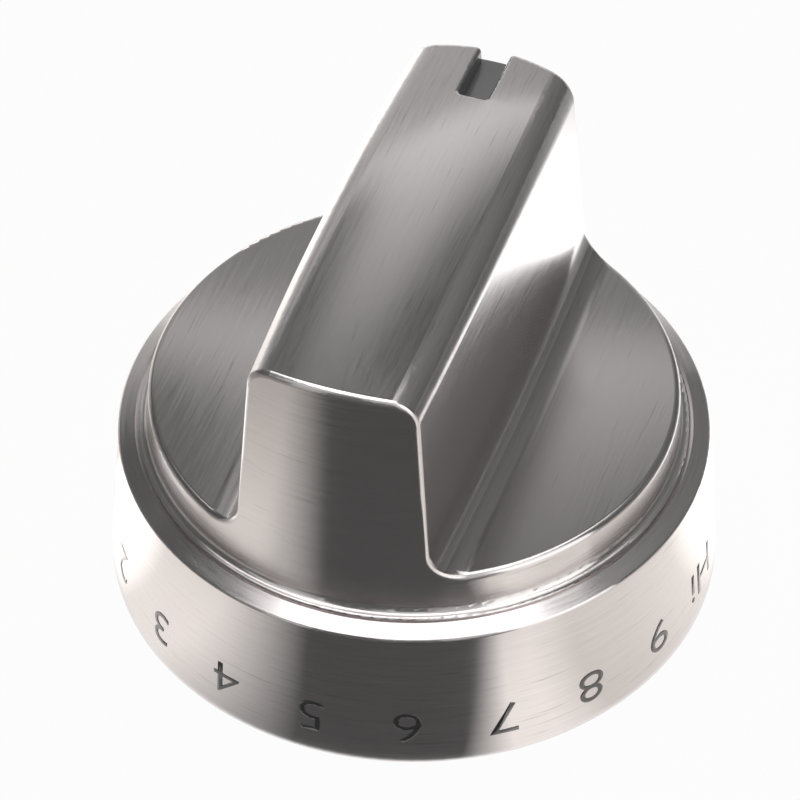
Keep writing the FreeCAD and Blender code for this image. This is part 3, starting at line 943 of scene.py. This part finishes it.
@dataclass(frozen=True)
class TableCards:
    """What the metal sees on the table: a dark cloth in front, white card beside it, dimmer paper beyond.

    Angles are in degrees from +X, counted from -180 to 180, and glows are shares of white.

    Attributes:
        near: The radius round the knob that is left free.
        far: How far the cards reach.
        lift: How far they are above the knob's foot.
        cloth_left: The cloth's left edge.
        cloth_right: The cloth's right edge.
        cloth_glow: The cloth's glow.
        glow: The near card's glow where no bounce is.
        tint: The near card's colour there.
        bounce_right: The share of bounced light over the angle, right of the knob and behind it. Below 0
            it dims the near card.
        bounce_left: The same left of the knob.
        bounce_glow: What the bounced light adds to the glow.
        reach: The two radii between which the near card goes over into the surround.
        surround: The glow of what lies further out, over the angle.
    """

    near: float = 28.4
    far: float = 2300.0
    lift: float = 0.03
    cloth_left: SoftEdge = SoftEdge(-18.0, -49.3, -107.5, 9.0, 1)
    cloth_right: SoftEdge = SoftEdge(24.3, -31.6, -41.6, 2.5, -1)
    cloth_glow: float = 0.07
    glow: float = 1.00
    tint: str = "FFFAF5"
    bounce_right: Stops = (
        (-42.0, 0.0), (-30.0, -0.19), (-18.0, -0.14), (5.0, 0.0), (35.0, 1.0), (90.0, 1.0), (120.0, 0.1))
    bounce_left: Stops = ((-180.0, 0.0), (-168.0, 1.0), (-145.0, 0.0))
    bounce_glow: float = 1.60
    reach: tuple[float, float] = (38.0, 80.0)
    surround: Stops = (
        (-180.0, 0.28), (-130.0, 0.26), (-108.0, 0.30), (-95.0, 0.16), (-60.0, 0.15), (-46.0, 0.26),
        (-34.0, 0.90), (-10.0, 0.66), (8.0, 0.34), (22.0, 0.12), (42.0, 0.13), (65.0, 0.52),
        (92.0, 0.30), (112.0, 0.60), (130.0, 1.90), (165.0, 0.34), (180.0, 0.28))

    def build(self) -> None:
        """Lays the cards on the table."""
        deselect_all()
        bpy.ops.mesh.primitive_plane_add(size=2 * self.far * MM, location=(0, 0, self.lift * MM))
        cards = bpy.context.object
        cards.name = "table_cards"
        leave_to_the_metal(cards)
        cards.data.materials.append(node_material("card_and_cloth", self._surface))

    def _surface(self, tree: Tree) -> Node:
        """Wires the cards and the cloth.

        Args:
            tree: The material's empty node tree.

        Returns:
            The shader.
        """
        point = add_node(tree, "TexCoord").outputs["Object"]
        x, y = add_node(tree, "SeparateXYZ", {}, {0: point}).outputs[:2]
        turn = add_node(tree, "Math", {"operation": "ARCTAN2"}, {0: y, 1: x})
        turn = add_node(tree, "Math", {"operation": "MULTIPLY"}, {0: turn, 1: math.degrees(1)})
        reach = add_node(tree, "VectorMath", {"operation": "LENGTH"}, {0: point}).outputs["Value"]
        reach = add_node(tree, "Math", {"operation": "MULTIPLY"}, {0: reach, 1: 1 / MM})
        cloth = add_node(tree, "Math", {"operation": "MULTIPLY"},
                         {0: self.cloth_left.share(tree, x, y), 1: self.cloth_right.share(tree, x, y)})
        bounce = add_node(tree, "Math", {"operation": "ADD"},
                          {0: ramp(tree, turn, self.bounce_right), 1: ramp(tree, turn, self.bounce_left)})
        near = add_node(tree, "Math", {"operation": "MULTIPLY"}, {0: bounce, 1: self.bounce_glow})
        near = add_node(tree, "Math", {"operation": "ADD"}, {0: near, 1: self.glow})
        beyond = ramp(tree, reach, ((self.reach[0], 0.0), (self.reach[1], 1.0)))
        glow = add_node(tree, "Mix", {"data_type": "FLOAT"},
                        {0: beyond, 2: near, 3: ramp(tree, turn, self.surround)})
        glow = add_node(tree, "Mix", {"data_type": "FLOAT"}, {0: cloth, 2: glow, 3: self.cloth_glow})
        untinted = add_node(tree, "Math", {"operation": "MAXIMUM"}, {0: cloth, 1: bounce})
        colour = add_node(tree, "Mix", {"data_type": "RGBA"}, {0: untinted, 6: linear(self.tint), 7: WHITE})
        shine = add_node(tree, "Emission", {}, {0: colour.outputs[2], 1: glow})
        cover = add_node(tree, "Math", {"operation": "GREATER_THAN"}, {0: reach, 1: self.near})
        clear = add_node(tree, "BsdfTransparent")
        return add_node(tree, "MixShader", {}, {0: cover, 1: clear, 2: shine})


@dataclass(frozen=True)
class Screen:
    """A small diffusing screen close above and behind the knob, whose far edge the flat faces mirror.

    The lamp behind it is close to the far edge, so the glow falls off from there, faster at the sides.

    Attributes:
        height: How far the screen is above the table.
        left: The x of its left edge.
        right: The x of its right edge.
        front: The y of its near left corner.
        back: The y of its far left corner.
        slant: How much y grows with x along the near and far edges.
        middle: The x where the lamp is.
        glow: The glow over the distance from the far edge.
        falloff: How much that distance is stretched, over the x from the lamp.
        lift: What the glow is multiplied with, over the x from the lamp.
    """

    height: float = 103.0
    left: float = -112.0
    right: float = 14.0
    front: float = -4.0
    back: float = 65.6
    slant: float = 0.2424
    middle: float = -26.0
    glow: Stops = ((-95.0, 0.09), (-66.0, 0.19), (-50.0, 0.33), (-26.0, 0.50), (-10.0, 0.66), (0.0, 0.76))
    falloff: Stops = ((-60.0, 14.0), (-34.0, 10.0), (-21.0, 6.2), (-12.0, 1.8), (-6.0, 1.0), (15.0, 1.0),
                      (20.0, 1.4), (26.0, 2.6), (40.0, 4.5))
    lift: Stops = ((-38.0, 1.5), (-14.0, 1.0))

    def build(self) -> None:
        """Hangs the screen over the knob."""
        deselect_all()
        bpy.ops.mesh.primitive_plane_add(size=1.0)
        screen = bpy.context.object
        screen.name = "screen"
        for v in screen.data.vertices:
            x = self.left if v.co.x < 0 else self.right
            y = (self.front if v.co.y < 0 else self.back) + self.slant * (x - self.left)
            v.co = (x * MM, y * MM, 0)
        screen.location.z = self.height * MM
        leave_to_the_metal(screen)
        screen.data.materials.append(node_material("diffusing_screen", self._surface))

    def _surface(self, tree: Tree) -> Node:
        """Wires the screen's glow.

        Args:
            tree: The material's empty node tree.

        Returns:
            The shader.
        """
        point = add_node(tree, "TexCoord").outputs["Object"]
        x, y = (add_node(tree, "Math", {"operation": "MULTIPLY"}, {0: way, 1: 1 / MM})
                for way in add_node(tree, "SeparateXYZ", {}, {0: point}).outputs[:2])
        inside = add_node(tree, "Math", {"operation": "SUBTRACT"},
                          {0: y, 1: self.back - self.slant * self.left})
        lean = add_node(tree, "Math", {"operation": "MULTIPLY"}, {0: x, 1: self.slant})
        inside = add_node(tree, "Math", {"operation": "SUBTRACT"}, {0: inside, 1: lean})
        aside = add_node(tree, "Math", {"operation": "SUBTRACT"}, {0: x, 1: self.middle})
        inside = add_node(tree, "Math", {"operation": "MULTIPLY"},
                          {0: inside, 1: ramp(tree, aside, self.falloff)})
        level = add_node(tree, "Math", {"operation": "MULTIPLY"},
                         {0: ramp(tree, inside, self.glow), 1: ramp(tree, aside, self.lift)})
        return add_node(tree, "Emission", {}, {0: WHITE, 1: level})


@dataclass(frozen=True)
class Softbox:
    """The overhead soft light, square to the camera's line.

    Attributes:
        left: Its left edge, seen along the camera's line.
        right: Its right edge.
        front: Its near edge.
        back: Its far edge.
        height: How far it is above the table.
        glow: Its brightness, where 1 is white.
        azimuth: The way the camera's line runs, in degrees from +X.
    """

    left: float = -430.0
    right: float = 380.0
    front: float = -250.0
    back: float = 560.0
    height: float = 1000.0
    glow: float = 2.2
    azimuth: float = 109.1

    def build(self) -> None:
        """Hangs the softbox over the table."""
        wide, deep = self.right - self.left, self.back - self.front
        turn = math.radians(self.azimuth - 90)
        middle = Vector(((self.right + self.left) / 2, (self.back + self.front) / 2, self.height))
        deselect_all()
        bpy.ops.object.light_add(type="AREA", location=Matrix.Rotation(turn, 3, "Z") @ middle * MM,
                                 rotation=(0, 0, turn))
        lamp = bpy.context.object
        lamp.name = "softbox"
        lamp.data.shape = "RECTANGLE"
        lamp.data.size, lamp.data.size_y = wide * MM, deep * MM
        lamp.data.energy = self.glow * math.pi * wide * deep * MM * MM
        lamp.visible_camera = False


@dataclass(frozen=True)
class Room:
    """The dim grey room round the table."""

    glow: float = 0.09

    def build(self) -> None:
        """Makes the room the scene's world."""
        world = bpy.data.worlds.new("room")
        bpy.context.scene.world = world
        world.use_nodes = True
        tree = world.node_tree
        tree.nodes.clear()
        air = add_node(tree, "Background", {}, {0: WHITE, 1: self.glow})
        add_node(tree, "OutputWorld", {}, {0: air})


@dataclass(frozen=True)
class Card:
    """A studio card far from the knob, which the metal sees as a patch of sky.

    Angles are in degrees as seen from the knob.

    Attributes:
        name: The card's name.
        azimuth: The direction of its middle, counted from +X.
        half_width: Half its width.
        low: Its lower edge, counted from the table.
        high: Its upper edge.
        low_glow: The glow at the lower edge.
        high_glow: The glow at the upper edge, to which it runs evenly.
        distance: How far away the card is, in millimetres.
    """

    name: str
    azimuth: float
    half_width: float
    low: float
    high: float
    low_glow: float
    high_glow: float
    distance: float = 1300.0

    def build(self) -> None:
        """Hangs the card so that it faces the knob."""
        azimuth, elevation = math.radians(self.azimuth), math.radians((self.low + self.high) / 2)
        towards = Vector((math.cos(azimuth) * math.cos(elevation), math.sin(azimuth) * math.cos(elevation),
                          math.sin(elevation)))
        side = Vector((-math.sin(azimuth), math.cos(azimuth), 0))
        up = towards.cross(side)
        deselect_all()
        bpy.ops.mesh.primitive_plane_add(size=2.0)
        card = bpy.context.object
        card.name = self.name
        wide = self.distance * math.tan(math.radians(self.half_width)) * math.cos(elevation)
        tall = self.distance * math.tan(math.radians((self.high - self.low) / 2))
        turn = Matrix((side * wide * MM, up * tall * MM, towards)).transposed().to_4x4()
        card.matrix_world = Matrix.Translation(towards * self.distance * MM) @ turn
        leave_to_the_metal(card)
        card.data.materials.append(node_material(self.name, self._surface))

    def _surface(self, tree: Tree) -> Node:
        """Wires the card's glow.

        Args:
            tree: The material's empty node tree.

        Returns:
            The shader.
        """
        point = add_node(tree, "TexCoord").outputs["Object"]
        place = add_node(tree, "SeparateXYZ", {}, {0: point}).outputs["Y"]
        glow = ramp(tree, place, ((-1.0, self.low_glow), (1.0, self.high_glow)))
        return add_node(tree, "Emission", {}, {0: WHITE, 1: glow})


@dataclass(frozen=True)
class Studio:
    """A pale table under a soft overhead light, with white cards round it and a dark cloth in front."""

    floor: Floor = Floor()
    table_cards: TableCards = TableCards()
    screen: Screen = Screen()
    softbox: Softbox = Softbox()
    room: Room = Room()
    cards: tuple[Card, ...] = (
        Card("card_behind", 111.0, 29.0, 9.0, 46.0, 0.52, 0.31),
        Card("card_horizon", 104.0, 30.0, -1.0, 9.0, 1.3, 0.7),
        Card("card_behind_left", 147.0, 13.0, -1.0, 22.0, 0.6, 0.2),
        Card("card_behind_right", 54.0, 32.0, 10.0, 60.0, 0.12, 0.20),
        Card("card_right", -20.0, 22.0, -1.0, 62.0, 1.05, 1.5),
        Card("card_right_edge", -52.0, 10.0, 5.0, 60.0, 0.35, 0.6),
        Card("card_left", -126.0, 17.0, 26.0, 60.0, 0.30, 0.85),
        Card("card_left_low", -114.0, 8.0, 0.0, 26.0, 0.42, 0.5),
        Card("card_above_camera", -75.0, 13.0, 38.0, 72.0, 0.3, 0.75),
    )

    def build(self) -> None:
        """Builds the floor, the lights and the cards."""
        for piece in (self.floor, self.table_cards, self.screen, self.softbox, self.room, *self.cards):
            piece.build()
        log.info("studio: floor, cloth, screen, softbox and %d cards", len(self.cards))


@dataclass(frozen=True)
class PhotoCamera:
    """The camera at the photograph's viewing angle.

    Attributes:
        place: Where it stands, in millimetres.
        right: The direction of the picture's right side.
        ahead: The direction it looks in.
        sensor: The sensor's width, in millimetres.
        focal_pixels: The focal length, in pixels of the photograph.
        image_pixels: The photograph's width, in pixels.
        nearest: The nearest distance that it sees, in metres.
        furthest: The furthest distance that it sees, in metres.
    """

    place: tuple[float, float, float] = (123.92, -361.8, 408.39)
    right: tuple[float, float, float] = (0.9453, 0.3262, -0.001)
    ahead: tuple[float, float, float] = (-0.229, 0.6613, -0.7143)
    sensor: float = 36.0
    focal_pixels: float = 5994.7
    image_pixels: float = 800.0
    nearest: float = 0.01
    furthest: float = 20.0

    def build(self) -> None:
        """Places the camera and makes it the scene's."""
        back = -Vector(self.ahead).normalized()
        side = Vector(self.right)
        side = (side - back * side.dot(back)).normalized()
        up = back.cross(side)
        deselect_all()
        bpy.ops.object.camera_add()
        camera = bpy.context.object
        camera.name = "photo_camera"
        turn = Matrix((side, up, back)).transposed().to_4x4()
        camera.matrix_world = Matrix.Translation(Vector(self.place) * MM) @ turn
        camera.data.sensor_width = self.sensor
        camera.data.lens = self.focal_pixels * self.sensor / self.image_pixels
        camera.data.clip_start, camera.data.clip_end = self.nearest, self.furthest
        bpy.context.scene.camera = camera


def main() -> None:
    """Loads the frame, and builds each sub-assembly in order."""
    logging.basicConfig(level=logging.INFO, format="%(name)s: %(message)s")
    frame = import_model()
    bpy.context.scene.view_settings.view_transform = "Standard"

    Grip(frame).build(BrushedSteel("brushed_steel_grip", Brushing.GRIP).build(),
                      PadInk("grey_pointer_enamel", colour="6E6E70", roughness=0.35).build())
    DialSkirt(frame).build(BrushedSteel("brushed_steel_skirt", Brushing.ROUND).build(),
                           PadInk("grey_pad_ink").build())
    Hub(frame).build(MouldedPlastic("moulded_polyamide").build(),
                     SheetMetal("blued_spring_steel", colour="8C8A88", roughness=0.30).build(),
                     SheetMetal("nickel_plated_band", colour="C9C5BD", roughness=0.26).build(),
                     SheetMetal("zinc_plated_screw", colour="BDBFBE", roughness=0.32).build())
    Studio().build()
    PhotoCamera().build()


if __name__ == "__main__":
    main()
